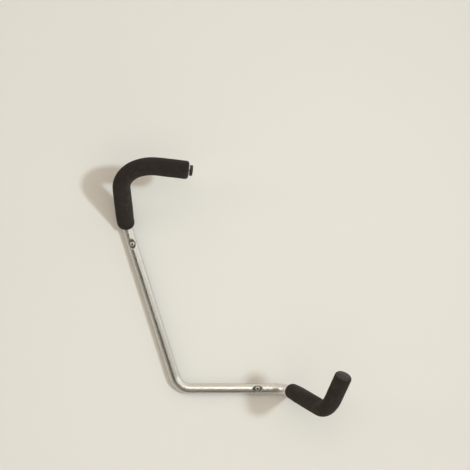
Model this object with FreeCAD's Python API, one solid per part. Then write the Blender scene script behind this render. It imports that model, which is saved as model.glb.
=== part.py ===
import FreeCAD, Part
import math
import os

from FreeCAD import Vector

# Bicycle wall rack: one bent steel tube with a foam sleeve and an end plug on each arm, held by two
# screws in wall plugs. Sizes are in millimetres. +Z is up and +X is to the right of somebody facing
# the wall. The wall's face is the plane y = 0 and the rack stands in front of it, at negative y.
# The origin is on the wall, midway between the two screws.

# Spacing of the two screws: one high on the left, one low on the right
fix_span_x = 260.0
fix_span_z = 300.0

# Tube section
tube_od = 22.0
tube_wall = 1.5

# Tube course. Each bend is placed by the point where the straight runs on its two sides would meet.
corner_x = -34.5          # corner of the slanted run and the level run, on the wall
knee_above_fix = 45.4     # knee, where the slanted run leaves the wall, above the upper screw
elbow_shift_x = -6.8      # elbow, from the knee
elbow_above_knee = 120.6
elbow_reach = 148.0       # elbow's distance from the wall
arm_length = 144.4        # elbow to the upper end of the tube
arm_droop = 6.7           # degrees below level
arm_return = 3.0          # degrees back towards the wall
turn_past_fix = 63.0      # turn, where the level run leaves the wall, beyond the lower screw
hook_shift_x = 72.5       # hook, from the turn
hook_drop = 30.5
hook_reach = 212.0        # hook's distance from the wall
tip_length = 88.4         # hook to the lower end of the tube
tip_rise = 54.0           # degrees above level
tip_heading = 33.0        # degrees to the right of straight out

# Bend radii, measured to the tube's axis
elbow_radius = 68.0
knee_radius = 35.0
corner_radius = 35.0
turn_radius = 49.0
hook_radius = 60.0

# Pressed seat for each screw head
seat_depth = 3.2          # floor of the seat below the tube's front
seat_head_gap = 0.6       # around the screw's head, each side
seat_flare = 1.25         # sideways growth for each millimetre of height
screw_hole_gap = 0.25     # around the screw's shank, each side

# Foam sleeves
upper_foam_wall = 7.6
lower_foam_wall = 6.25
foam_gap = 0.1            # between the foam and the tube, each side
foam_off_wall = 0.3       # the squashed back of the upper foam, from the wall
foam_rim_round = 5.5
upper_foam_end_gap = 1.9  # bare tube between the foam and the end plug
upper_foam_past_knee = 17.0   # length of the knee bend that the foam covers
lower_foam_past_turn = 47.0   # length of the turn bend that stays bare
lower_foam_over_plug = 4.3    # how far the foam reaches over the end plug's head

# End plugs
plug_head = 6.6
plug_head_round = 1.4
plug_insert = 18.0
plug_gap = 0.15           # between the insert and the tube, each side
plug_rib_gap = 0.03       # the same at the ribs
plug_rib = 1.2
plug_rib_pitch = 4.5
plug_shell = 1.8

# Wall screws
screw_length = 60.0       # under the head
screw_head_d = 11.0
screw_head = 3.0
screw_d = 5.0
screw_core_d = 3.7
screw_pitch = 2.2
screw_plain = 16.0        # unthreaded length under the head
screw_point = 5.0
recess_width = 5.2
recess_slot = 1.1
recess_depth = 1.9

# Wall plugs
wall_plug_d = 8.0
wall_plug_length = 40.0
wall_plug_gap = 0.06      # between the plug's bore and the screw's thread, each side
wall_plug_solid = 9.0     # unslit length at the front
wall_plug_slit = 1.0

tube_r = tube_od / 2.0
bore_r = tube_r - tube_wall
upper_fix = Vector(-fix_span_x / 2.0, 0, fix_span_z / 2.0)
lower_fix = Vector(fix_span_x / 2.0, 0, -fix_span_z / 2.0)
seat_y = -(tube_od - seat_depth)
to_viewer = Vector(0, -1, 0)
to_wall = Vector(0, 1, 0)


def course():
    """Corner points of the tube's axis, from the upper end to the lower end"""
    back = -tube_r
    corner = Vector(corner_x, back, lower_fix.z)
    lean = (upper_fix.x - corner.x) / (upper_fix.z - corner.z)
    knee = Vector(upper_fix.x + lean * knee_above_fix, back, upper_fix.z + knee_above_fix)
    elbow = Vector(knee.x + elbow_shift_x, -elbow_reach, knee.z + elbow_above_knee)
    droop, swing = math.radians(arm_droop), math.radians(arm_return)
    arm = Vector(math.cos(droop) * math.cos(swing), math.sin(swing), -math.sin(droop) * math.cos(swing))
    upper_end = elbow + arm * arm_length
    turn = Vector(lower_fix.x + turn_past_fix, back, lower_fix.z)
    hook = Vector(turn.x + hook_shift_x, -hook_reach, turn.z - hook_drop)
    rise, heading = math.radians(tip_rise), math.radians(tip_heading)
    tip = Vector(math.cos(rise) * math.sin(heading), -math.cos(rise) * math.cos(heading), math.sin(rise))
    return [upper_end, elbow, knee, corner, turn, hook, hook + tip * tip_length]


def turned(vector, axis, angle):
    """The vector turned about a unit axis, by the right-hand rule"""
    along = axis * axis.dot(vector)
    return along + (vector - along) * math.cos(angle) + axis.cross(vector) * math.sin(angle)


def centreline(points, radii):
    """The axis as stretches: (start, direction, length) or (start, direction, length, centre, axis)"""
    stretches = []
    start = points[0]
    for before, point, after, radius in zip(points, points[1:], points[2:], radii):
        incoming = (point - before).normalize()
        outgoing = (after - point).normalize()
        angle = incoming.getAngle(outgoing)
        setback = radius * math.tan(angle / 2.0)
        bend_start = point - incoming * setback
        stretches.append((start, incoming, (bend_start - start).Length))
        axis = incoming.cross(outgoing).normalize()
        centre = bend_start + axis.cross(incoming) * radius
        stretches.append((bend_start, incoming, radius * angle, centre, axis))
        start = point + outgoing * setback
    last = points[-1] - start
    stretches.append((start, Vector(last).normalize(), last.Length))
    return stretches


def clipped(stretch, begin, end):
    """The part of one stretch between two distances along it"""
    if len(stretch) == 3:
        start, direction, length = stretch
        return (start + direction * begin, direction, end - begin)
    start, direction, length, centre, axis = stretch
    radius = (start - centre).Length
    angle = begin / radius
    moved = centre + turned(start - centre, axis, angle)
    return (moved, turned(direction, axis, angle), end - begin, centre, axis)


def portion(stretches, begin, end):
    """The stretches between two distances along the axis, run on straight past either end"""
    total = sum(stretch[2] for stretch in stretches)
    picked = []
    at = 0.0
    for number, stretch in enumerate(stretches):
        low = begin - at if number == 0 else max(begin - at, 0.0)
        high = end - at if number == len(stretches) - 1 else min(end - at, stretch[2])
        if high - low > 1e-6:
            picked.append(clipped(stretch, low, high))
        at += stretch[2]
    return picked


def rod(stretches, radius):
    """A round bar along the stretches"""
    solids = []
    for stretch in stretches:
        start, direction, length = stretch[:3]
        if len(stretch) == 3:
            solids.append(Part.makeCylinder(radius, length, start, direction))
        else:
            centre, axis = stretch[3:]
            disc = Part.Face(Part.Wire(Part.makeCircle(radius, start, direction)))
            angle = math.degrees(length / (start - centre).Length)
            solids.append(disc.revolve(centre, axis, angle))
    if len(solids) == 1:
        return solids[0]
    return solids[0].multiFuse(solids[1:])


def only_solid(shape):
    """The single solid that a boolean leaves, without its compound"""
    return shape.Solids[0]


def seat_cone(fix, grow):
    """The hollow pressed into the tube for a screw head, or its outer skin when grown by the wall"""
    slant = math.hypot(1.0, seat_flare)
    floor_r = screw_head_d / 2.0 + seat_head_gap + grow * (slant - seat_flare)
    floor = Vector(fix.x, seat_y + grow, fix.z)
    height = seat_depth + grow + 2.0
    return Part.makeCone(floor_r, floor_r + height * seat_flare, height, floor, to_viewer)


def make_tube(line, total):
    outer = rod(line, tube_r)
    cavity = rod(portion(line, -1.0, total + 1.0), bore_r)
    for fix in (upper_fix, lower_fix):
        outer = outer.cut(seat_cone(fix, 0.0))
        cavity = cavity.cut(seat_cone(fix, tube_wall))
    tube = outer.cut(cavity)
    for fix in (upper_fix, lower_fix):
        start = Vector(fix.x, 1.0, fix.z)
        hole_r = screw_d / 2.0 + screw_hole_gap
        tube = tube.cut(Part.makeCylinder(hole_r, tube_od + 1.0, start, to_viewer))
    return only_solid(tube)


def make_foam(line, begin, end, wall):
    """A foam sleeve between two distances along the axis, its outer rims rounded"""
    foam_r = tube_r + wall
    ends = (portion(line, begin, begin + 1.0)[0], portion(line, end - 1e-4, end)[-1])
    body = rod(portion(line, begin, end), foam_r)
    rims = []
    for edge in body.Edges:
        if isinstance(edge.Curve, Part.Circle) and abs(edge.Curve.Radius - foam_r) < 1e-3:
            if min((edge.Curve.Center - stretch[0]).Length for stretch in ends) < 1e-3:
                rims.append(edge)
    body = body.makeFillet(foam_rim_round, rims)
    box = body.BoundBox
    if box.YMax > -foam_off_wall:
        corner = Vector(box.XMin - 1.0, -foam_off_wall, box.ZMin - 1.0)
        behind = Part.makeBox(box.XLength + 2.0, box.YMax + foam_off_wall + 1.0, box.ZLength + 2.0, corner)
        body = body.cut(behind)
    return only_solid(body.cut(rod(portion(line, begin - 1.0, end + 1.0), tube_r + foam_gap)))


def make_end_plug(end, outward):
    """A push-in plug: a rounded head against the tube's end and a ribbed hollow insert"""
    insert_r = bore_r - plug_gap
    head = Part.makeCylinder(tube_r, plug_head, end, outward)
    rims = [edge for edge in head.Edges
            if isinstance(edge.Curve, Part.Circle)
            and (edge.Curve.Center - end - outward * plug_head).Length < 1e-3]
    head = head.makeFillet(plug_head_round, rims)
    inward = outward * -1.0
    body = head.fuse(Part.makeCylinder(insert_r, plug_insert, end, inward))
    at = plug_rib_pitch
    while at + plug_rib < plug_insert - 1.0:
        place = end + inward * at
        cone = Part.makeCone(bore_r - plug_rib_gap, insert_r - 0.4, plug_rib * 2.0, place, inward)
        body = body.fuse(cone)
        at += plug_rib_pitch
    hollow = Part.makeCylinder(insert_r - plug_shell, plug_insert, end + inward * 1.0, inward)
    return only_solid(body.cut(hollow))


def lathe(profile, fix):
    """A closed (radius, y) outline turned about the screw's axis"""
    points = [Vector(fix.x + radius, y, fix.z) for radius, y in profile]
    face = Part.Face(Part.makePolygon(points + points[:1]))
    return face.revolve(Vector(fix.x, 0, fix.z), to_wall, 360.0)


def screw_profile():
    """Head, plain shank, ridged thread and point of a wall screw"""
    crown = seat_y - screw_head
    head_r, shank_r, core_r = screw_head_d / 2.0, screw_d / 2.0, screw_core_d / 2.0
    outline = [(0.0, crown)]
    for step in range(1, 9):
        angle = math.radians(90.0 * step / 8.0)
        rise = (screw_head - 0.8) * (1.0 - math.cos(angle))
        outline.append((head_r * (0.45 + 0.55 * math.sin(angle)), crown + rise))
    outline += [(head_r, seat_y), (shank_r, seat_y), (shank_r, seat_y + screw_plain)]
    y = seat_y + screw_plain
    end = seat_y + screw_length - screw_point
    while y + screw_pitch <= end:
        outline += [(core_r, y + screw_pitch * 0.3), (core_r, y + screw_pitch * 0.62),
                    (shank_r, y + screw_pitch * 0.92), (shank_r, y + screw_pitch)]
        y += screw_pitch
    return outline + [(core_r, y + screw_pitch * 0.3), (core_r, end + 0.8), (0.0, seat_y + screw_length)]


def make_screw(fix):
    body = lathe(screw_profile(), fix)
    crown = seat_y - screw_head
    half, slot = recess_width / 2.0, recess_slot / 2.0
    low = crown - 1.0
    depth = recess_depth + 1.0
    for wide, tall in ((half, slot), (slot, half)):
        corner = Vector(fix.x - wide, low, fix.z - tall)
        body = body.cut(Part.makeBox(2 * wide, depth, 2 * tall, corner))
    return only_solid(body)


def make_wall_plug(fix):
    """A nylon plug flush with the wall's face, slit along its middle so that it can spread"""
    start = Vector(fix.x, 0, fix.z)
    outer_r = wall_plug_d / 2.0
    bore = screw_d / 2.0 + wall_plug_gap
    body = Part.makeCylinder(outer_r, wall_plug_length, start, to_wall)
    body = body.cut(Part.makeCylinder(bore, wall_plug_length + 2.0, start - to_wall, to_wall))
    slit_length = wall_plug_length - 2.0 * wall_plug_solid
    corner = Vector(fix.x - outer_r - 1.0, wall_plug_solid, fix.z - wall_plug_slit / 2.0)
    body = body.cut(Part.makeBox(2 * outer_r + 2.0, slit_length, wall_plug_slit, corner))
    return only_solid(body)


points = course()
radii = [elbow_radius, knee_radius, corner_radius, turn_radius, hook_radius]
line = centreline(points, radii)
total = sum(stretch[2] for stretch in line)
knee_at = sum(stretch[2] for stretch in line[:3])
turn_at = sum(stretch[2] for stretch in line[:7])
upper_outward = (points[0] - points[1]).normalize()
lower_outward = (points[-1] - points[-2]).normalize()

nodes = {
    "tube": make_tube(line, total),
    "upper_foam_sleeve": make_foam(line, upper_foam_end_gap, knee_at + upper_foam_past_knee,
                                   upper_foam_wall),
    "lower_foam_sleeve": make_foam(line, turn_at + lower_foam_past_turn, total + lower_foam_over_plug,
                                   lower_foam_wall),
    "upper_end_plug": make_end_plug(points[0], upper_outward),
    "lower_end_plug": make_end_plug(points[-1], lower_outward),
    "upper_wall_screw": make_screw(upper_fix),
    "lower_wall_screw": make_screw(lower_fix),
    "upper_wall_plug": make_wall_plug(upper_fix),
    "lower_wall_plug": make_wall_plug(lower_fix),
}

os.makedirs("parts", exist_ok=True)
for name, shape in nodes.items():
    shape.exportStep("parts/" + name + ".step")
    box = shape.BoundBox
    print(name, shape.ShapeType, "valid", shape.isValid(), "solids", len(shape.Solids),
          "size", round(box.XLength, 1), round(box.YLength, 1), round(box.ZLength, 1),
          "volume", round(shape.Volume, 1))
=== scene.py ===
# %% [markdown]
# # A bicycle rack that screws to a wall
#
# The real rack is one length of steel tube, bent five times. Two screws hold it to the wall through
# seats pressed into the tube. A foam sleeve on each arm keeps the bicycle's paint from the steel, and
# a plastic plug closes each end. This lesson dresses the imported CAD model: the CAD says where every
# piece is and how big it is, and Blender gives the pieces their finer shapes and their finishes.

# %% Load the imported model
import math
from collections import namedtuple

import bmesh
import bpy
from mathutils import Matrix, Vector, noise


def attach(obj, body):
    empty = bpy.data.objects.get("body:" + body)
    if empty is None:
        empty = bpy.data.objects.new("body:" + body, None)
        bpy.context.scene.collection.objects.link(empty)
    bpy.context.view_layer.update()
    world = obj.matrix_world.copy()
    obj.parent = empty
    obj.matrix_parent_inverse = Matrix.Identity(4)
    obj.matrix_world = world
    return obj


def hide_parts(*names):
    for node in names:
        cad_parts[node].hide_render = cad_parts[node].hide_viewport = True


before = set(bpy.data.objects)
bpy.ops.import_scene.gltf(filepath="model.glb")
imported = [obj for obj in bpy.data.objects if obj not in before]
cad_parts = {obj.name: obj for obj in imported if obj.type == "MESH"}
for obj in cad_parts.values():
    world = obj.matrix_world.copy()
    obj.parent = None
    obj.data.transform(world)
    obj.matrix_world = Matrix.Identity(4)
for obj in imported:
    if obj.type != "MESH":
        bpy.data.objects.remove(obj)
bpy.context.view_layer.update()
print("CAD nodes:", ", ".join(sorted(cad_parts)))

# %% [markdown]
# ## The course of the tube
#
# A tube bender works from a list of straight runs and bends, so the script keeps the same list. The
# corners below are where neighbouring runs would meet if the bends were sharp, and each bend has a
# radius to the tube's axis. Each corner is placed by its offsets from the one before it. A curve
# object could hold the same line, but its rings can't be placed one by one, and the drawn lines of
# the steel have to follow the true distance along the tube.

# %% Corners and bend radii of the tube, in metres
tube_radius, tube_wall = 0.011, 0.0015
upper_fixing, lower_fixing = Vector((-0.13, 0, 0.15)), Vector((0.13, 0, -0.15))
on_wall = -tube_radius                 # where the axis is while the tube lies against the wall
arm_out, hook_out = -0.148, -0.212     # where it is at the upper arm and at the hook
knee_rise = 0.0454                     # from the upper screw up to the knee
upper_run, lower_run = 0.1444, 0.0884  # from the last corner to the tube's end, on each arm

corner = Vector((-0.0345, on_wall, lower_fixing.z))
lean = (upper_fixing.x - corner.x) / (upper_fixing.z - corner.z)
knee = Vector((upper_fixing.x + lean * knee_rise, on_wall, upper_fixing.z + knee_rise))
elbow = Vector((knee.x - 0.0068, arm_out, knee.z + 0.1206))
turn = Vector((lower_fixing.x + 0.063, on_wall, lower_fixing.z))
hook = Vector((turn.x + 0.0725, hook_out, turn.z - 0.0305))


def heading(swing, wallward, rise):
    """Unit vector from degrees: swung to the right of the wall's normal, and raised above the level

    wallward is 1 for a run that heads towards the wall and -1 for one that heads away from it
    """
    swing, rise = math.radians(swing), math.radians(rise)
    level = math.cos(rise)
    return Vector((level * math.sin(swing), wallward * level * math.cos(swing), math.sin(rise)))


upper_end = elbow + heading(87.0, 1, -6.7) * upper_run
lower_end = hook + heading(33.0, -1, 54.0) * lower_run
corners = [upper_end, elbow, knee, corner, turn, hook, lower_end]
bend_radii = [0.068, 0.035, 0.035, 0.049, 0.060]
print("corners:", [[round(n, 4) for n in point] for point in corners])

# %% Straight runs and bends, each with the matrix that stands at its start
Stretch = namedtuple("Stretch", "begins length start centre axis")


def swung(centre, axis, angle):
    """Matrix that turns things about an axis through a centre"""
    return Matrix.Translation(centre) @ Matrix.Rotation(angle, 4, axis) @ Matrix.Translation(-centre)


def lay_course():
    """The tube's stretches in order; a straight run has no centre and no axis"""
    stretches, at = [], 0.0
    facing = (corners[1] - corners[0]).to_track_quat("Z", "Y").to_matrix().to_4x4()
    here = Matrix.Translation(corners[0]) @ facing
    for before, point, after, radius in zip(corners, corners[1:], corners[2:], bend_radii):
        incoming, outgoing = (point - before).normalized(), (after - point).normalized()
        angle = incoming.angle(outgoing)
        run = (point - here.translation).length - radius * math.tan(angle / 2)
        stretches.append(Stretch(at, run, here, None, None))
        here = Matrix.Translation(incoming * run) @ here
        axis = incoming.cross(outgoing).normalized()
        centre = here.translation + axis.cross(incoming) * radius
        stretches.append(Stretch(at + run, radius * angle, here, centre, axis))
        here = swung(centre, axis, angle) @ here
        at += run + radius * angle
    stretches.append(Stretch(at, (corners[-1] - here.translation).length, here, None, None))
    return stretches


stretches = lay_course()
tube_length = stretches[-1].begins + stretches[-1].length
diagonal, level_run = stretches[4], stretches[6]
knee_begins, turn_begins, turn_ends = stretches[3].begins, stretches[7].begins, stretches[8].begins
print("tube length:", round(tube_length, 4), "in", len(stretches), "stretches")

# %% The place at any distance along the tube


def along(distance):
    """Matrix that puts a ring, drawn about the origin, at a distance along the tube's axis"""
    stretch = [s for s in stretches if s.begins <= max(distance, 0.0)][-1]
    run = distance - stretch.begins
    if stretch.centre is None:
        return Matrix.Translation(stretch.start.col[2].xyz * run) @ stretch.start
    radius = (stretch.start.translation - stretch.centre).length
    return swung(stretch.centre, stretch.axis, run / radius) @ stretch.start


print("the end is off by", round((along(tube_length).translation - lower_end).length, 7))

# %% [markdown]
# ## Rings swept along the course
#
# The tube and the sleeves have the same kind of surface: a ring carried along the axis, now and then
# changing its radius. Each ring is extruded from the one before, which leaves clean four-sided faces
# and lets the rings crowd together where the shape changes. Every vertex also keeps its place on the
# straight tube before bending, so that a finish can run along the steel and round the bends with it.

# %% Where the rings go
crowd_step = 0.00075


def ring_places(begin, end, wide, close, crowds=()):
    """Distances for the rings: wide apart on the runs, close in the bends, closest in a crowd"""
    places = [begin]
    while places[-1] < end - 1e-6:
        here = places[-1]
        bent = any(s.centre is not None and s.begins - close <= here <= s.begins + s.length
                   for s in stretches)
        crowded = any(abs(here - middle) < reach for middle, reach in crowds)
        step = crowd_step if crowded else close if bent else wide
        for middle, reach in crowds:
            if here < middle - reach:
                step = min(step, middle - reach - here + 1e-5)
        places.append(min(here + step, end))
    return places


print("rings 5 mm apart along the tube:", len(ring_places(0.0, tube_length, 0.005, 0.005)))

# %% Sweep rings of any radius along the tube


def sweep(rings, segments, closed=False, faces_as=None):
    """A bmesh of rings (distance along the tube, radius), each extruded from the ring before

    faces_as gives the distance whose heading a ring takes, where that isn't its own
    """
    bm = bmesh.new()
    straight = bm.verts.layers.float_vector.new("straight_place")
    heading_of = bm.verts.layers.float_vector.new("tube_heading")
    ring = bmesh.ops.create_circle(bm, segments=segments, radius=1.0)["verts"]
    edges = first_edges = list(bm.edges)
    shape = Matrix.Identity(4)
    for number, (distance, radius) in enumerate(rings):
        if number:
            made = bmesh.ops.extrude_edge_only(bm, edges=edges)["geom"]
            ring = [v for v in made if isinstance(v, bmesh.types.BMVert)]
            fresh = set(ring)
            edges = [e for e in made if isinstance(e, bmesh.types.BMEdge) and set(e.verts) <= fresh]
        place = along(distance)
        if faces_as:
            middle = place.translation
            place = along(faces_as(distance))
            place.translation = middle
        target = place @ Matrix.Diagonal((radius, radius, 1.0, 1.0))
        bmesh.ops.transform(bm, matrix=target @ shape.inverted(), verts=ring)
        shape = target
        upright = place.inverted()
        for vertex in ring:
            flat = upright @ vertex.co
            vertex[straight] = Vector((flat.x, flat.y, distance))
            vertex[heading_of] = place.col[2].xyz
    if closed:
        bmesh.ops.bridge_loops(bm, edges=first_edges + edges)
    bmesh.ops.recalc_face_normals(bm, faces=bm.faces)
    return bm


def as_piece(bm, name, smooth=True):
    """The finished bmesh as an object at the origin"""
    mesh = bpy.data.meshes.new(name)
    bm.to_mesh(mesh)
    bm.free()
    mesh.polygons.foreach_set("use_smooth", [smooth] * len(mesh.polygons))
    piece = bpy.data.objects.new(name, mesh)
    bpy.context.scene.collection.objects.link(piece)
    print(name, "has", len(mesh.vertices), "vertices and", len(mesh.polygons), "faces")
    return piece


# %% [markdown]
# ## The bent tube
#
# The tube is 22 mm steel with a 1.5 mm wall. Where each screw passes, a press has pushed a cone into
# the front of the tube so that the head sits below the surface: seen from the front the seat is an
# eye-shaped hollow. It could be cut with a boolean, but a boolean leaves a knife edge, and pressed
# steel rolls over. So the vertices near the screw are pressed onto the cone with a soft blend, the
# hole is opened by removing its faces, and Solidify gives the steel its wall afterwards. Each vertex
# also notes how far it was pressed, because worked zinc is duller and the hollow is painted darker
# as shade, and the finish has to know where.

# %% Press a seat round each screw
seat_floor_y, seat_floor_radius, seat_flare = -0.0188, 0.0061, 1.25
seat_reach = 0.016        # how far from the screw the press touches the tube
seat_roll = 0.0012        # how softly the steel rolls over into the seat
# At this depth the seat's hollow is also fully painted dark, as shade.
dull_and_shaded_after = 0.0008       # how deep a press leaves the zinc fully dull


def soft_max(first, second, blend):
    """The larger of two numbers, rounded over where they are about equal"""
    overlap = max(blend - abs(first - second), 0.0) / blend
    return max(first, second) + overlap * overlap * blend / 4


def press_seat(bm, fixing):
    """Push the tube's front onto the cone, and note how far each vertex was pressed"""
    pressed = bm.verts.layers.float["pressed"]
    for vertex in bm.verts:
        away = math.hypot(vertex.co.x - fixing.x, vertex.co.z - fixing.z)
        if away < seat_reach and vertex.co.y < on_wall:
            cone = seat_floor_y - max(away - seat_floor_radius, 0.0) / seat_flare
            before = vertex.co.y
            vertex.co.y = soft_max(before, cone, seat_roll)
            vertex[pressed] = min((vertex.co.y - before) / dull_and_shaded_after, 1.0)


print("the seat's floor is", round(seat_floor_y - (on_wall - tube_radius), 5), "below the tube's front")

# %% Open the screw holes and give the tube its wall
hole_radius = 0.00275
seat_crowd = 0.014        # the rings crowd together this far on both sides of a screw


def open_holes(bm, fixing):
    """Remove the faces inside the screw's hole, front and back, and round the edge that is left"""
    def away(point):
        return Vector((point.x - fixing.x, 0, point.z - fixing.z))
    inside = [f for f in bm.faces if away(f.calc_center_median()).length < hole_radius]
    rims = {v for f in inside for v in f.verts}
    bmesh.ops.delete(bm, geom=inside, context="FACES")
    for vertex in rims:
        if vertex.is_valid and vertex.is_boundary:
            out = away(vertex.co)
            vertex.co += out.normalized() * (hole_radius - out.length)


crowds = []
for fixing, stretch in ((upper_fixing, diagonal), (lower_fixing, level_run)):
    run = (fixing - stretch.start.translation).dot(stretch.start.col[2].xyz)
    crowds.append((stretch.begins + run, seat_crowd))
places = ring_places(0.0, tube_length, 0.008, 0.0028, crowds)
bm = sweep([(distance, tube_radius) for distance in places], 104)
bm.verts.layers.float.new("pressed")
for fixing in (upper_fixing, lower_fixing):
    press_seat(bm, fixing)
    open_holes(bm, fixing)
tube = as_piece(bm, "bent_tube")
wall = tube.modifiers.new("steel wall", "SOLIDIFY")
wall.thickness, wall.offset, wall.use_even_offset = tube_wall, -1.0, True
print("seats at", [round(place, 4) for place, _ in crowds], "along the tube")

# %% [markdown]
# ## The foam sleeves
#
# Each sleeve is a length of closed-cell foam hose pushed over the tube. It is cut square, and its cut
# edges have rounded into a soft nose. Foam hose is stiff, has no seams and doesn't drape, so no cloth
# is simulated: the sleeve is swept as a thick ring, then its skin is moved in code. Where the tube
# bends, the hose is stretched thin on the outer side and squeezed into shallow ripples on the inner
# side. Near its ends the hose turns less than the steel inside it, so its last rings keep the heading
# of the straight run. Where its back meets the wall it is squashed flat, and the lower sleeve was
# pulled on so hard that it begins a little slimmer.

# %% Rings of a thick sleeve with rounded ends
foam_bore = 0.0111
nose_steps, face_steps = 9, 3


def sleeve_rings(begin, end, radius, nose):
    """Up the first end face, along the outside, down the second end face, and back through the bore"""
    steps = [math.radians(90.0 * n / nose_steps) for n in range(nose_steps + 1)]
    flat = radius - nose
    faces = [foam_bore + (flat - foam_bore) * n / face_steps for n in range(face_steps)]
    rings = [(begin, face) for face in faces]
    rings += [(begin + nose * (1 - math.cos(a)), flat + nose * math.sin(a)) for a in steps]
    rings += [(place, radius) for place in ring_places(begin + nose, end - nose, 0.002, 0.002)[1:-1]]
    rings += [(end - nose * (1 - math.cos(a)), flat + nose * math.sin(a)) for a in reversed(steps)]
    rings += [(end, face) for face in reversed(faces)]
    rings += [(place, foam_bore) for place in reversed(ring_places(begin, end, 0.004, 0.004)[1:-1])]
    return rings


print("rings in 100 mm of hose:", len(sleeve_rings(0.0, 0.1, 0.0186, 0.006)))

# %% How the foam gives way in a bend
give_beyond = 0.012       # how far past a bend the foam still gives
full_give_radius = 0.06   # a bend of this radius gives the amounts below, a tighter one more
thin_all, thin_outside, ripple_depth, ripple_pitch = 0.0003, 0.0010, 0.00030, 0.0062


def give(distance, out):
    """How far the skin moves outwards: thinner outside a bend, rippled inside it"""
    for begins, length, start, centre, _ in stretches:
        if centre is not None and begins - give_beyond < distance < begins + length + give_beyond:
            middle = along(distance).translation
            inward = out.dot((centre - middle).normalized())
            share = math.sin(math.pi * (distance - begins + give_beyond) / (length + 2 * give_beyond))
            tight = full_give_radius / (start.translation - centre).length
            ripple = (1 + math.cos(distance / ripple_pitch * 2 * math.pi)) / 2
            thinned = thin_outside * max(-inward, 0.0) ** 2 + thin_all
            return -tight * share * (thinned + ripple_depth * max(inward, 0.0) ** 2 * ripple)
    return 0.0


elbow_bend = stretches[1]
elbow_middle = elbow_bend.begins + elbow_bend.length / 2
outside = (along(elbow_middle).translation - elbow_bend.centre).normalized()
print("outside the elbow the foam gives", round(give(elbow_middle, outside) * 1000, 2), "mm")

# %% Move the skin
bore_skin = 0.0004        # a vertex nearer the bore than this belongs to the bore
slow_grain, slow_depth = 38.0, 0.00022
fine_grain, fine_depth = 210.0, 0.00005
slim_over = 0.040         # the slimmer beginning fades out over this length


def unsettle(bm, begin, radius, seed, slimmer):
    """Slow unevenness of the foam's skin, how it gives way in the bends, and a slimmer beginning"""
    straight = bm.verts.layers.float_vector["straight_place"]
    bm.normal_update()
    for vertex in bm.verts:
        place = vertex[straight]
        reach = math.hypot(place.x, place.y)
        if reach > foam_bore + bore_skin:
            out = (vertex.co - along(place.z).translation).normalized()
            slow = noise.noise(place * slow_grain + Vector((seed, 0, 0)))
            fine = noise.noise(place * fine_grain + Vector((0, seed, 0)))
            slim = slimmer * max(1 - (place.z - begin) / slim_over, 0.0)
            vertex.co += vertex.normal * (slow_depth * slow + fine_depth * fine)
            vertex.co += out * give(place.z, out) * (reach / radius) ** 4
            vertex.co -= out * slim * (reach / radius) ** 2


def clear_steel(bm):
    """Move the bore's vertices out to the bore's radius where the hose and the tube turn differently"""
    straight = bm.verts.layers.float_vector["straight_place"]
    for vertex in bm.verts:
        place = vertex[straight]
        if math.hypot(place.x, place.y) < foam_bore + bore_skin:
            distance = place.z
            for _ in range(3):
                here = along(distance)
                distance += (vertex.co - here.translation).dot(here.col[2].xyz)
            here = along(distance)
            out = vertex.co - here.translation
            out -= here.col[2].xyz * out.dot(here.col[2].xyz)
            vertex.co += out.normalized() * max(foam_bore - out.length, 0.0)


def squash_on_wall(bm, gap=0.0003, blend=0.0008, near=0.002):
    """Flatten the skin's back where it would go into the wall"""
    for vertex in bm.verts:
        if vertex.co.y > -near:
            vertex.co.y = -soft_max(-vertex.co.y, gap, blend)


print("the skin is uneven by up to", round((slow_depth + fine_depth) * 1000, 2), "mm")

# %% The two sleeves


def make_sleeve(name, begin, end, radius, nose, faces_as, seed, slimmer=0.0):
    bm = sweep(sleeve_rings(begin, end, radius, nose), 96, closed=True, faces_as=faces_as)
    unsettle(bm, begin, radius, seed, slimmer)
    clear_steel(bm)
    squash_on_wall(bm)
    print(name, "covers", round(begin, 4), "to", round(end, 4))
    return as_piece(bm, name)


upper_sleeve = make_sleeve("upper_sleeve", 0.0019, knee_begins + 0.0195, 0.0186, 0.006,
                           lambda distance: min(distance, knee_begins), 3.7)
lower_sleeve = make_sleeve("lower_sleeve", turn_begins + 0.0485, tube_length + 0.0049, 0.01725, 0.005,
                           lambda distance: max(distance, turn_ends), 11.2, slimmer=0.0010)

# %% [markdown]
# ## The end plugs
#
# A plug is one moulding: a low domed head as wide as the tube, and a hollow insert whose soft ribs
# grip the bore. Everything about it is round, so its half outline is drawn once and spun. A full spin
# merges the last column with the first, and the two poles are merged after it.

# %% Spin an outline into a turned piece


def turned(outline, segments=96):
    """A bmesh of (radius, height) points joined by lines and spun about Z"""
    bm = bmesh.new()
    verts = [bm.verts.new((radius, 0, height)) for radius, height in outline]
    edges = [bm.edges.new(pair) for pair in zip(verts, verts[1:])]
    bmesh.ops.spin(bm, geom=verts + edges, cent=(0, 0, 0), axis=(0, 0, 1), angle=2 * math.pi,
                   steps=segments, use_merge=True)
    bmesh.ops.remove_doubles(bm, verts=bm.verts, dist=1e-6)
    bmesh.ops.recalc_face_normals(bm, faces=bm.faces)
    return bm


def rounded(centre, radius, first, last, steps=6):
    """Points of an arc in the outline, between two angles in degrees"""
    angles = [math.radians(first + (last - first) * n / steps) for n in range(steps + 1)]
    return [(centre[0] + radius * math.cos(a), centre[1] + radius * math.sin(a)) for a in angles]


print("a rounded edge has", len(rounded((0.0, 0.0), 0.001, 0, 90)), "points")

# %% The two end plugs
plug_head, plug_insert, insert_radius, plug_shell = 0.0066, 0.018, 0.00935, 0.0018
plug_crown, plug_edge = 0.0007, 0.0013
rib_pitch, rib_radius, rib_land, rib_foot = 0.0045, 0.00947, 0.0003, 0.0010


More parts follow.
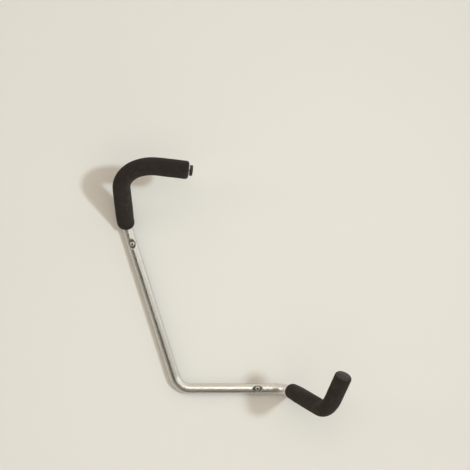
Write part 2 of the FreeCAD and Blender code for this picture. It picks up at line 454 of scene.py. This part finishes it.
def plug_outline():
    """From the middle of the head, over its rim, down the ribbed insert and up its hollow"""
    rim = tube_radius - plug_edge
    dome = [(rim * n / 8, plug_head - plug_crown * (n / 8) ** 2) for n in range(9)]
    outline = dome + rounded((rim, plug_head - plug_crown - plug_edge), plug_edge, 84, 0)
    outline += [(tube_radius, 0.0003), (tube_radius - 0.0003, 0.0), (insert_radius, 0.0)]
    at = rib_pitch
    while at + 0.0012 < plug_insert - 0.001:
        outline += [(insert_radius, -at + 0.0001), (rib_radius, -at), (rib_radius, -at - rib_land),
                    (insert_radius, -at - rib_foot)]
        at += rib_pitch
    bore = insert_radius - plug_shell
    outline += [(insert_radius, -plug_insert + 0.0012), (insert_radius - 0.0006, -plug_insert)]
    outline += [(bore + 0.0003, -plug_insert), (bore, -plug_insert + 0.0003)]
    outline += rounded((bore - 0.001, -0.002), 0.001, 0, 90, 4) + [(0.0, -0.001)]
    return outline


def make_plug(name, matrix):
    bm = turned(plug_outline())
    bmesh.ops.transform(bm, matrix=matrix, verts=bm.verts)
    return as_piece(bm, name)


facing_back = Matrix.Rotation(math.pi, 4, "X")
upper_plug = make_plug("upper_plug", along(0.0) @ facing_back)
lower_plug = make_plug("lower_plug", along(tube_length))

# %% [markdown]
# ## The wall screws
#
# Each screw has a pan head with a flat top and a cross recess, a plain shank and a coarse thread down
# to its point. The head and the core are turned, and the thread is a small three-cornered ridge spun
# with a step forward for each step round, which is exactly how a thread is cut. The recess is the one
# place with sharp walls in a curved surface, so a boolean cuts it. Hardly any light reaches the
# recess, so its vertices are marked and the finish paints it dark as shade.

# %% Turn the head and the core
head_radius, head_height, shank_radius, core_radius = 0.0055, 0.003, 0.0025, 0.00185
screw_length, screw_plain, screw_point, pitch = 0.060, 0.016, 0.005, 0.0022
head_flat, head_round, head_drop, head_steps = 0.66, 0.34, 0.0020, 9
recess_rim = 0.0031


def screw_outline():
    """Head towards +Z with its underside at 0, and the point at the bottom"""
    outline = [(0.0, head_height), (recess_rim, head_height)]
    for n in range(1, head_steps + 1):
        a = math.radians(90.0 * n / head_steps)
        outline.append((head_radius * (head_flat + head_round * math.sin(a)),
                        head_height - head_drop * (1 - math.cos(a))))
    outline += [(head_radius, 0.0002), (head_radius - 0.0002, 0.0), (shank_radius + 0.0003, 0.0)]
    outline += [(shank_radius, -0.0003), (shank_radius, -screw_plain)]
    outline += [(core_radius, -screw_plain - 0.0008), (core_radius, -screw_length + screw_point)]
    outline += [(core_radius * 0.55, -screw_length + 0.0022)]
    return outline + [(0.0003, -screw_length + 0.0001), (0.0, -screw_length)]


print("the screw's outline has", len(screw_outline()), "points")

# %% Cut the thread
ridge_root, root_half, crest_half = core_radius - 0.0002, 0.0006, 0.00008
thread_stops_short = 0.0026    # the thread ends this far from the screw's point
lead_in = pitch * 0.8          # and takes this long to reach its full height


def thread_ridge(steps=28):
    """A closed ridge, spun and stepped forward together, thinning out at both ends"""
    bm = bmesh.new()
    top = -screw_plain - root_half
    turns = (screw_length - screw_plain - thread_stops_short) / pitch
    section = ((ridge_root, root_half), (shank_radius, crest_half), (shank_radius, -crest_half),
               (ridge_root, -root_half))
    verts = [bm.verts.new((radius, 0, top + height)) for radius, height in section]
    face = bm.faces.new(verts)
    total = int(turns * steps)
    bmesh.ops.spin(bm, geom=[face] + verts + list(bm.edges), cent=(0, 0, 0), axis=(0, 0, 1),
                   dvec=(0, 0, -pitch / steps), angle=2 * math.pi * total / steps, steps=total)
    for vertex in bm.verts:
        height = vertex.co.z
        grown = min(max((top - height) / lead_in, 0.0), 1.0)
        tapered = min(max((height + screw_length) / screw_point, 0.12), 1.0)
        radius = math.hypot(vertex.co.x, vertex.co.y)
        core = ridge_root * min(tapered * 1.1, 1.0)
        wanted = core + (radius - ridge_root) * (0.25 + 0.75 * grown) * (0.3 + 0.7 * tapered)
        vertex.co.x *= wanted / radius
        vertex.co.y *= wanted / radius
    bmesh.ops.recalc_face_normals(bm, faces=bm.faces)
    return bm


print("turns of thread:", round((screw_length - screw_plain - thread_stops_short) / pitch, 1))

# %% Punch the recess
punch_tip, punch_mouth, punch_depth, punch_middle = 0.0006, 0.0025, 0.0036, 0.0026
wing_bottom, wing_top = (0.0032, 0.00085, 0.0011), (0.0062, 0.00125, 0.0042)


def cross_cutter():
    """A cross-shaped punch with a pointed core, narrowing towards its tip

    A wing is a block whose bottom and top each have a length, a width and a height above 0
    """
    bm = bmesh.new()
    bmesh.ops.create_cone(bm, segments=24, radius1=punch_tip, radius2=punch_mouth, depth=punch_depth,
                          cap_ends=True, matrix=Matrix.Translation((0, 0, punch_middle)))
    for turn_by in (0.0, math.pi / 2):
        wing = bmesh.ops.create_cube(bm, size=1.0)["verts"]
        for vertex in wing:
            length, width, height = wing_bottom if vertex.co.z < 0 else wing_top
            vertex.co.x *= length
            vertex.co.y *= width
            vertex.co.z = height
        bmesh.ops.rotate(bm, verts=wing, cent=(0, 0, 0), matrix=Matrix.Rotation(turn_by, 3, "Z"))
    return bm


def cleaned(mesh):
    """The mesh without the doubled points and the needle faces that a boolean leaves"""
    bm = bmesh.new()
    bm.from_mesh(mesh)
    bmesh.ops.remove_doubles(bm, verts=bm.verts, dist=2e-6)
    bmesh.ops.dissolve_degenerate(bm, edges=bm.edges, dist=1e-6)
    bm.to_mesh(mesh)
    bm.free()
    return mesh


def carved(piece, cutter):
    """The piece with a cutter's bmesh taken away, and the modifier used up"""
    tool = as_piece(cutter, "cutting_tool")
    cut = piece.modifiers.new("cut", "BOOLEAN")
    cut.operation, cut.solver, cut.object, cut.use_self = "DIFFERENCE", "EXACT", tool, True
    bpy.context.view_layer.update()
    done = bpy.data.meshes.new_from_object(piece.evaluated_get(bpy.context.evaluated_depsgraph_get()))
    piece.modifiers.clear()
    piece.data = cleaned(done)
    bpy.data.objects.remove(tool)
    return piece


print("the recess is", round((head_height - punch_middle + punch_depth / 2) * 1000, 1), "mm deep")

# %% The two screws
upper_tilt, lower_tilt = 20.0, 52.0    # how far round, in degrees, each recess stopped when driven


def soften(piece, degrees):
    """Smooth shading, with the edges sharper than this kept crisp"""
    bm = bmesh.new()
    bm.from_mesh(piece.data)
    for face in bm.faces:
        face.smooth = True
    for edge in bm.edges:
        edge.smooth = not (edge.is_manifold and edge.calc_face_angle(0.0) > math.radians(degrees))
    bm.to_mesh(piece.data)
    bm.free()


def make_screw(name, fixing, tilt):
    body = carved(as_piece(turned(screw_outline(), 72), name), cross_cutter())
    bm = bmesh.new()
    bm.from_mesh(body.data)
    ridge = bpy.data.meshes.new("ridge")
    thread = thread_ridge()
    thread.to_mesh(ridge)
    thread.free()
    bm.from_mesh(ridge)
    bpy.data.meshes.remove(ridge)
    punched = bm.verts.layers.float.new("punched")
    for vertex in bm.verts:
        in_recess = math.hypot(vertex.co.x, vertex.co.y) < recess_rim
        vertex[punched] = float(in_recess and 0.0005 < vertex.co.z < head_height - 0.0003)
    seat = Vector((fixing.x, seat_floor_y, fixing.z))
    into_wall = Matrix.Rotation(math.radians(90.0), 4, "X")
    driven = Matrix.Rotation(math.radians(tilt), 4, "Z")
    bmesh.ops.transform(bm, matrix=Matrix.Translation(seat) @ into_wall @ driven, verts=bm.verts)
    bm.to_mesh(body.data)
    bm.free()
    soften(body, 32.0)
    return body


upper_screw = make_screw("upper_screw", upper_fixing, upper_tilt)
lower_screw = make_screw("lower_screw", lower_fixing, lower_tilt)

# %% [markdown]
# ## The wall plugs
#
# A nylon plug sits in each drilled hole, flush with the wall. Shallow saw-tooth rings keep it from
# turning or pulling out, and a slit through its middle lets it spread as the screw goes in. It is
# turned like the end plugs, and a thin blade cuts the slit.

# %% Turn a wall plug and slit it
nylon_radius, nylon_length, nylon_bore = 0.004, 0.040, 0.00256
first_ring, ring_pitch, ring_slope, ring_depth = 0.006, 0.0028, 0.0022, 0.00045
slit_width, slit_stops_short = 0.001, 0.009


def nylon_outline():
    """Outside from the front edge back, then the bore forward again"""
    outline = [(nylon_bore, 0.0), (nylon_radius - 0.0003, 0.0), (nylon_radius, 0.0003)]
    at = first_ring
    while at < nylon_length - 0.007:
        outline += [(nylon_radius, at), (nylon_radius - ring_depth, at + 0.0002),
                    (nylon_radius, at + ring_slope)]
        at += ring_pitch
    outline += [(nylon_radius, nylon_length - 0.003), (nylon_radius - 0.0008, nylon_length)]
    return outline + [(nylon_bore, nylon_length), (nylon_bore, 0.0)]


def slit_blade():
    """A thin blade through the plug's middle, which stops short of both its ends"""
    bm = bmesh.new()
    length = 2 * (nylon_length / 2 - slit_stops_short)
    size = Matrix.Diagonal((nylon_radius * 3, slit_width, length, 1.0))
    bmesh.ops.create_cube(bm, size=1.0, matrix=Matrix.Translation((0, 0, nylon_length / 2)) @ size)
    return bm


def make_wall_plug(name, fixing):
    piece = carved(as_piece(turned(nylon_outline(), 64), name), slit_blade())
    into_wall = Matrix.Translation(fixing) @ Matrix.Rotation(math.radians(-90.0), 4, "X")
    piece.data.transform(into_wall)
    soften(piece, 28.0)
    return piece


upper_wall_plug = make_wall_plug("upper_nylon_plug", upper_fixing)
lower_wall_plug = make_wall_plug("lower_nylon_plug", lower_fixing)

# %% [markdown]
# ## Shader sums
#
# A finish is a small sum: noise, times something, plus something. Written node by node it takes a
# page, so one class wraps a socket and lets Python's own signs add the Math nodes. Every other node
# comes from one method that takes its type, its settings and its inputs.

# %% A socket that can be added and multiplied


class Signal:
    """A shader socket that takes part in Python sums"""

    def __init__(self, finish, socket):
        self.finish, self.socket = finish, socket

    def _sum(self, operation, first, second):
        return self.finish.node("ShaderNodeMath", {"operation": operation}, {0: first, 1: second})

    def __add__(self, other):
        return self._sum("ADD", self, other)

    def __radd__(self, other):
        return self._sum("ADD", other, self)

    def __sub__(self, other):
        return self._sum("SUBTRACT", self, other)

    def __rsub__(self, other):
        return self._sum("SUBTRACT", other, self)

    def __mul__(self, other):
        return self._sum("MULTIPLY", self, other)

    def __rmul__(self, other):
        return self._sum("MULTIPLY", other, self)


# %% The nodes of one finish


class Finish:
    """The nodes of one material or of the room's light"""

    def __init__(self, owner):
        self.owner = owner
        owner.use_nodes = True
        self.tree = owner.node_tree
        self.tree.nodes.clear()

    def node(self, kind, settings=None, inputs=None, output=0):
        """A node of any kind: its settings, then its inputs by name or number, then one output"""
        made = self.tree.nodes.new(kind)
        for key, value in (settings or {}).items():
            if key == "stops":
                for number, (place, colour) in enumerate(value):
                    stops = made.color_ramp.elements
                    stop = stops[number] if number < 2 else stops.new(place)
                    stop.position, stop.color = place, colour
            else:
                setattr(made, key, value)
        for key, value in (inputs or {}).items():
            if isinstance(value, Signal):
                self.tree.links.new(value.socket, made.inputs[key])
            else:
                made.inputs[key].default_value = value
        if made.outputs:
            return Signal(self, made.outputs[output])

    def between(self, value, low, high):
        """0 below low, 1 above high, smooth between"""
        return self.node("ShaderNodeMapRange", {"interpolation_type": "SMOOTHSTEP"},
                         {"Value": value, "From Min": low, "From Max": high})

    def mixed(self, share, first, second):
        """A colour between two others"""
        return self.node("ShaderNodeMix", {"data_type": "RGBA"}, {0: share, 6: first, 7: second}, 2)

    def cloud(self, place, scale, detail=2.0, roughness=0.5):
        """Noise at a place"""
        return self.node("ShaderNodeTexNoise", None,
                         {"Vector": place, "Scale": scale, "Detail": detail, "Roughness": roughness})

    def vector(self, operation, *values):
        """A Vector Math node"""
        keys = (0, 3) if operation == "SCALE" else range(3)
        return self.node("ShaderNodeVectorMath", {"operation": operation}, dict(zip(keys, values)))

    def dot(self, first, second):
        """How far two directions agree"""
        return self.node("ShaderNodeVectorMath", {"operation": "DOT_PRODUCT"}, {0: first, 1: second}, 1)

    def bump(self, height, distance, strength=1.0):
        """A normal that a small relief has tilted"""
        return self.node("ShaderNodeBump", None,
                         {"Height": height, "Distance": distance, "Strength": strength})

    def noted(self, name, output):
        """What the vertices noted under a name: output 1 for a vector, 2 for a number"""
        return self.node("ShaderNodeAttribute", {"attribute_name": name}, None, output)

    def facing(self):
        """The direction that the surface faces"""
        return self.node("ShaderNodeNewGeometry", None, None, 1)

    def on_piece(self):
        """Object coordinates"""
        return self.node("ShaderNodeTexCoord", None, None, 3)

    def surface(self, inputs):
        """The principled shader, joined to the output"""
        shader = self.node("ShaderNodeBsdfPrincipled", None, inputs)
        self.node("ShaderNodeOutputMaterial", None, {0: shader})
        return self.owner


def new_finish(name):
    return Finish(bpy.data.materials.new(name))


# %% [markdown]
# ## Bright zinc on drawn steel
#
# Zinc plating is silvery and a little cloudy. Under it the steel carries hair-fine lines from being
# drawn through a die, all running along the tube. They spread a reflection round the tube and leave
# it crisp along the tube, which is why a lamp shows as one long streak. An anisotropic shader needs a
# tangent that the bends would break, so the lines tilt the normal sideways instead: noise that
# changes fast round the tube and slowly along it. Where the press worked the steel the lines are half
# ironed out and the zinc is duller, and the seat's hollow is painted darker as shade.

# %% Zinc finish for the tube


def zinc_tube():
    finish = new_finish("bright zinc tube")
    place, normal = finish.noted("straight_place", 1), finish.facing()
    pressed = finish.noted("pressed", 2)
    lines = finish.cloud(finish.vector("MULTIPLY", place, (9000.0, 9000.0, 160.0)), 1.0, 1.0)
    around = finish.vector("CROSS_PRODUCT", finish.noted("tube_heading", 1), normal)
    tilt = (lines - 0.5) * (1.0 - pressed * 0.5)
    tilted = finish.vector("ADD", normal, finish.vector("SCALE", around, tilt))
    clouds = finish.cloud(finish.vector("MULTIPLY", place, (60.0, 60.0, 18.0)), 1.0, 3.0)
    streaks = finish.cloud(finish.vector("MULTIPLY", place, (700.0, 700.0, 12.0)), 1.0, 3.0)
    spots = finish.cloud(place, 900.0, 2.0)
    # The third colour is painted shade for the seats' hollows, mixed in by how far the steel was
    # pressed.
    cloudy, clear, painted_seat_shade = (0.695, 0.695, 0.672, 1.0), (0.73, 0.73, 0.705, 1.0), (0.30, 0.30, 0.29, 1.0)
    base = finish.mixed(finish.between(clouds * 0.6 + streaks * 0.4, 0.38, 0.62), cloudy, clear)
    rough = 0.23 + finish.between(clouds, 0.4, 0.6) * 0.04 + (spots - 0.5) * 0.06 + pressed * 0.12
    return finish.surface({"Base Color": finish.mixed(pressed, base, painted_seat_shade), "Metallic": 1.0,
                           "Roughness": rough, "Normal": finish.vector("NORMALIZE", tilted)})


tube_zinc = zinc_tube()
print("finish:", tube_zinc.name)

# %% [markdown]
# ## Black foam
#
# The foam is nearly black and slightly warm. Its skin is matte, with tiny closed cells and a faint
# bloom where it has been handled, so it hardly shines even at a glancing angle. The knife opened the
# cells of the end faces, and open cells look paler and browner than the skin; the end faces are also
# painted paler still, as a highlight for the light that their rounded rims catch. The finish finds an
# end face by comparing the way it faces with the way the tube runs.

# %% Foam finish


def foam_finish():
    finish = new_finish("black foam")
    place = finish.noted("straight_place", 1)
    cells = finish.node("ShaderNodeTexVoronoi", {"feature": "F1"}, {"Vector": place, "Scale": 1500.0})
    grain = finish.cloud(place, 700.0, 3.0, 0.6)
    mottle = finish.cloud(place, 90.0, 3.0, 0.55)
    bloom = finish.cloud(place, 28.0, 3.0, 0.6)
    dusty = finish.between(bloom * 0.5 + mottle * 0.5, 0.48, 0.66)
    end_on = finish.dot(finish.noted("tube_heading", 1), finish.facing())
    cut = finish.between(end_on * end_on, 0.3, 0.9) * finish.between(grain, 0.35, 0.6)
    clean, dusted = (0.0242, 0.0193, 0.0168, 1.0), (0.0335, 0.0273, 0.0238, 1.0)
    # The end faces' colour is the open cells' own paler brown plus a painted highlight for the light
    # their rims catch.
    open_cells_and_highlight = (0.064, 0.050, 0.042, 1.0)
    base = finish.mixed(cut, finish.mixed(dusty, clean, dusted), open_cells_and_highlight)
    relief = grain * 0.6 + cells * 0.8 + mottle * 0.4
    return finish.surface({"Base Color": base, "Roughness": 0.80 + (grain - 0.5) * 0.25,
                           "Normal": finish.bump(relief, 0.00022, 0.8), "Specular IOR Level": 0.03,
                           "Diffuse Roughness": 1.0, "Sheen Weight": 0.03, "Sheen Roughness": 0.5})


black_foam = foam_finish()
print("finish:", black_foam.name)

# %% [markdown]
# ## Plastic, screw steel and nylon
#
# The end plugs are moulded polyethylene, smooth with a soft gloss that wear has dulled in places. The
# screws are plated like the tube but turned, so they are plainer, and their recesses are painted dark
# as shade. Nylon is pale grey and waxy. All three are patterned by Object coordinates, because none
# of them is bent.

# %% Plug, screw and nylon finishes


def plug_plastic():
    finish = new_finish("black moulded plastic")
    place = finish.on_piece()
    grain = finish.cloud(place, 1600.0, 2.0)
    wear = finish.between(finish.cloud(place, 160.0, 4.0, 0.6), 0.5, 0.72)
    base = finish.mixed(wear, (0.012, 0.011, 0.0105, 1.0), (0.024, 0.022, 0.021, 1.0))
    return finish.surface({"Base Color": base, "Roughness": 0.26 + wear * 0.2 + (grain - 0.5) * 0.08,
                           "Normal": finish.bump(grain, 0.00004, 0.6)})


def screw_zinc():
    finish = new_finish("zinc screw")
    place, punched = finish.on_piece(), finish.noted("punched", 2)
    fine = finish.cloud(place, 1800.0, 2.0)
    tarnish = finish.between(finish.cloud(place, 420.0, 3.0), 0.42, 0.66)
    base = finish.mixed(tarnish, (0.62, 0.62, 0.60, 1.0), (0.48, 0.475, 0.46, 1.0))
    # The recess is painted dark as shade.
    base = finish.mixed(punched, base, (0.10, 0.098, 0.095, 1.0))
    return finish.surface({"Base Color": base, "Metallic": 1.0,
                           "Roughness": 0.26 + tarnish * 0.14 + punched * 0.2,
                           "Normal": finish.bump(fine, 0.00003, 0.7)})


def nylon_grey():
    finish = new_finish("grey nylon")
    place = finish.on_piece()
    fine = finish.cloud(place, 900.0, 3.0)
    flow = finish.between(finish.cloud(place, 150.0, 2.0), 0.4, 0.65)
    base = finish.mixed(flow, (0.36, 0.37, 0.38, 1.0), (0.43, 0.44, 0.45, 1.0))
    return finish.surface({"Base Color": base, "Roughness": 0.42 + (fine - 0.5) * 0.15,
                           "Normal": finish.bump(fine, 0.00005, 0.5)})


black_plastic, screw_plating, grey_nylon = plug_plastic(), screw_zinc(), nylon_grey()
print("finishes:", black_plastic.name, "/", screw_plating.name, "/", grey_nylon.name)

# %% [markdown]
# ## Dress the rack
#
# Each finished piece takes its material, hides the CAD node it stands for, and rides on the rack's
# one body. The table also names the slot of the record that each piece is finished in.

# %% Materials, slots and bodies of the pieces
dressing = [
    (tube, tube_zinc, "tube", "tube_steel"),
    (upper_sleeve, black_foam, "upper_foam_sleeve", "foam"),
    (lower_sleeve, black_foam, "lower_foam_sleeve", "foam"),
    (upper_plug, black_plastic, "upper_end_plug", "plug_plastic"),
    (lower_plug, black_plastic, "lower_end_plug", "plug_plastic"),
    (upper_screw, screw_plating, "upper_wall_screw", "screw_steel"),
    (lower_screw, screw_plating, "lower_wall_screw", "screw_steel"),
    (upper_wall_plug, grey_nylon, "upper_wall_plug", "wall_plug_nylon"),
    (lower_wall_plug, grey_nylon, "lower_wall_plug", "wall_plug_nylon"),
]
for piece, material, node, slot_name in dressing:
    piece.data.materials.clear()
    piece.data.materials.append(material)
    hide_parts(node)
    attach(piece, "root")
    print(piece.name, "stands for", node)

# %% [markdown]
# ## Wall and floor
#
# The rack hangs on a plain painted wall over a plain pale floor. Both are thin sheets. They are
# painted on the side that faces the room and clear from the other side, so that the rack can also be
# looked at from behind and from below. The floor stays out of the steel's reflections, because the
# room's light further on has a floor of its own for them.

# %% Stage sheets
sheet_width, wall_height, floor_depth = 9.0, 4.0, 9.0
floor_z = -1.05


def painted(name, colour, rough):
    """Paint on the front of a sheet, and nothing on its back"""
    finish = new_finish(name)
    paint = finish.node("ShaderNodeBsdfPrincipled", None, {"Base Color": colour, "Roughness": rough})
    clear = finish.node("ShaderNodeBsdfTransparent")
    behind = finish.node("ShaderNodeNewGeometry", None, None, 6)
    sheet = finish.node("ShaderNodeMixShader", None, {0: behind, 1: paint, 2: clear})
    finish.node("ShaderNodeOutputMaterial", None, {0: sheet})
    return finish.owner


def stage_sheet(name, matrix, material):
    bm = bmesh.new()
    bmesh.ops.create_grid(bm, x_segments=1, y_segments=1, size=0.5, matrix=matrix)
    sheet = as_piece(bm, name, smooth=False)
    sheet.data.materials.append(material)
    return sheet


upright = Matrix.Rotation(math.radians(90.0), 4, "X")
standing = Matrix.Translation((0, 0, floor_z + wall_height / 2)) @ upright
standing @= Matrix.Diagonal((sheet_width, wall_height, 1.0, 1.0))
lying = Matrix.Translation((0, -floor_depth / 2, floor_z))
lying @= Matrix.Diagonal((sheet_width, floor_depth, 1.0, 1.0))
stage_sheet("wall", standing, painted("wall paint", (0.540, 0.521, 0.484, 1.0), 0.5))
floor = stage_sheet("floor", lying, painted("floor paint", (0.80, 0.78, 0.74, 1.0), 0.6))
floor.visible_glossy = False

# %% [markdown]
# ## Lamps
#
# The main light is far off to the right and nearly level. Its rays are parallel, so both arms throw
# their shadows the same way: a sun lamp with a broad disc does that, where an area lamp would have to
# be huge and stand far away. A tall bright lamp above the camera draws the white streak along the
# level run. Two weak ones, one near the front of the rack and one low, lift the foam out of its own
# shade. Only the streak lamp shows in the steel.

# %% Four lamps
rack_middle = (0.0, 0.0, 0.0)


def placed(name, data, place, aim):
    """A lamp at a place, pointed at another"""
    light = bpy.data.objects.new(name, data)
    light.location = place
    light.rotation_euler = (Vector(aim) - Vector(place)).to_track_quat("-Z", "Y").to_euler()
    bpy.context.scene.collection.objects.link(light)
    print(name, "is", round((Vector(place) - Vector(aim)).length, 2), "m from what it lights")
    return light


def lamp(name, place, aim, size, watts, colour):
    """A rectangular lamp"""
    data = bpy.data.lights.new(name, "AREA")
    data.shape, data.size, data.size_y = "RECTANGLE", size[0], size[1]
    data.energy, data.color = watts, colour
    return placed(name, data, place, aim)


def far_lamp(name, place, spread, strength, colour):
    """A lamp so far away that its rays are parallel, and whose disc spreads over some degrees"""
    data = bpy.data.lights.new(name, "SUN")
    data.angle, data.energy, data.color = math.radians(spread), strength, colour
    return placed(name, data, place, rack_middle)


key_lamp = far_lamp("key lamp", (33.1, -50.0, 4.3), 4.8, 1.98, (0.77, 0.90, 0.976))
lamp("streak lamp", (0.06, -4.0, 0.95), rack_middle, (0.45, 1.3), 7.8, (1.0, 0.98, 0.95))
near_lamp = lamp("fill lamp", (0.30, -1.05, 0.22), (0.2, 0.0, 0.12), (0.8, 0.8), 2.4, (1.0, 0.97, 0.92))
low_lamp = lamp("low lamp", (0.15, -0.9, -1.0), (0.05, 0.0, -0.05), (0.9, 0.6), 1.4, (1.0, 0.96, 0.90))
for unseen in (key_lamp, near_lamp, low_lamp):
    unseen.visible_glossy = False

# %% [markdown]
# ## The room
#
# Bright metal shows whatever stands round it, so the rest of the light is a room, held in the world's
# colour. Each side of it climbs from a dark floor to a pale upper wall, and the right side leans, so
# that its light begins higher up the further right it is. Onto that go a window far to the left, a
# lit doorway on the right and one gloomy patch low behind the camera. Together they give the tube its
# dark line and its white side. A panorama of a real room would do the same, but these numbers say
# which part of the room makes which part of the shine.

# %% The room's levels and landmarks
left_tint, right_tint = (1.13, 1.006, 0.847), (1.06, 1.006, 0.94)
left_climb = [  # degrees above the level, and how bright it is there
    (-90, 0.10), (-70, 0.13), (-45, 0.28), (-25, 0.40), (-14, 0.34), (-6, 0.34), (0, 0.42),
    (5, 0.60), (10, 0.79), (15, 0.96), (25, 0.96), (45, 0.81), (75, 0.72),
]
right_climb = [  # height on a ball of radius 1, and how bright it is there
    (-0.5, 0.17), (-0.14, 0.26), (-0.055, 0.52), (0.006, 0.93), (0.08, 1.10), (0.2, 1.10), (0.7, 0.86),
]
landmarks = {  # the direction of its middle, and how well a ray agrees with it at its edge and core
    "window": ((-0.835, -0.522, 0.174), 0.985, 0.995),
    "gloom": ((-0.42, -0.898, -0.134), 0.92, 0.98),
    "door": ((0.925, -0.24, 0.294), 0.92, 0.985),
}
window_strength, door_strength = 4.0, 0.35


def ramp_stops(climb, tint):
    """Stops of a colour ramp for heights between -1 and 1"""
    return [((height + 1) / 2, tuple(level * part for part in tint) + (1.0,)) for height, level in climb]


print("the left side has", len(left_climb), "levels and the right side", len(right_climb))

# %% Light the room


def room_light():
    finish = Finish(bpy.data.worlds.new("room"))
    bpy.context.scene.world = finish.owner
    towards = finish.node("ShaderNodeTexCoord")
    right = finish.node("ShaderNodeSeparateXYZ", None, {0: towards}, 0)
    up = finish.node("ShaderNodeSeparateXYZ", None, {0: towards}, 2)
    leaning = up * 0.953 - right * 0.303
    heights = [(math.sin(math.radians(rise)), level) for rise, level in left_climb]
    left_stops, right_stops = ramp_stops(heights, left_tint), ramp_stops(right_climb, right_tint)
    left_side = finish.node("ShaderNodeValToRGB", {"stops": left_stops}, {0: up * 0.5 + 0.5})
    right_side = finish.node("ShaderNodeValToRGB", {"stops": right_stops}, {0: leaning * 0.5 + 0.5})
    colour = finish.mixed(finish.between(right, 0.05, 0.42), left_side, right_side)

    def patch(name):
        """1 in the core of a landmark and 0 outside it"""
        aim, edge, core = landmarks[name]
        return finish.between(finish.dot(towards, aim), edge, core)

    brighter = 1.0 + patch("door") * door_strength + patch("window") * window_strength
    strength = brighter * (1.0 - patch("gloom"))
    shader = finish.node("ShaderNodeBackground", None, {"Color": colour, "Strength": strength})
    finish.node("ShaderNodeOutputWorld", None, {0: shader})
    print("the room has", len(finish.tree.nodes), "nodes")


room_light()

# %% [markdown]
# ## Camera
#
# The camera stands four metres back, square to the wall and level with the middle of the rack, with a
# long lens. The wall is a little under a metre wide in its frame.

# %% Camera
stand_back = 4.024
camera_data = bpy.data.cameras.new("camera")
camera_data.sensor_fit, camera_data.angle = "HORIZONTAL", math.radians(13.88)
camera = bpy.data.objects.new("camera", camera_data)
camera.location = (0.08305, -stand_back, 0.1691)
camera.rotation_euler = (math.radians(90.0), 0.0, 0.0)
bpy.context.scene.collection.objects.link(camera)
bpy.context.scene.camera = camera
bpy.context.scene.view_settings.view_transform = "Standard"
print("the frame is", round(2 * stand_back * math.tan(camera_data.angle / 2), 3), "m wide at the wall")
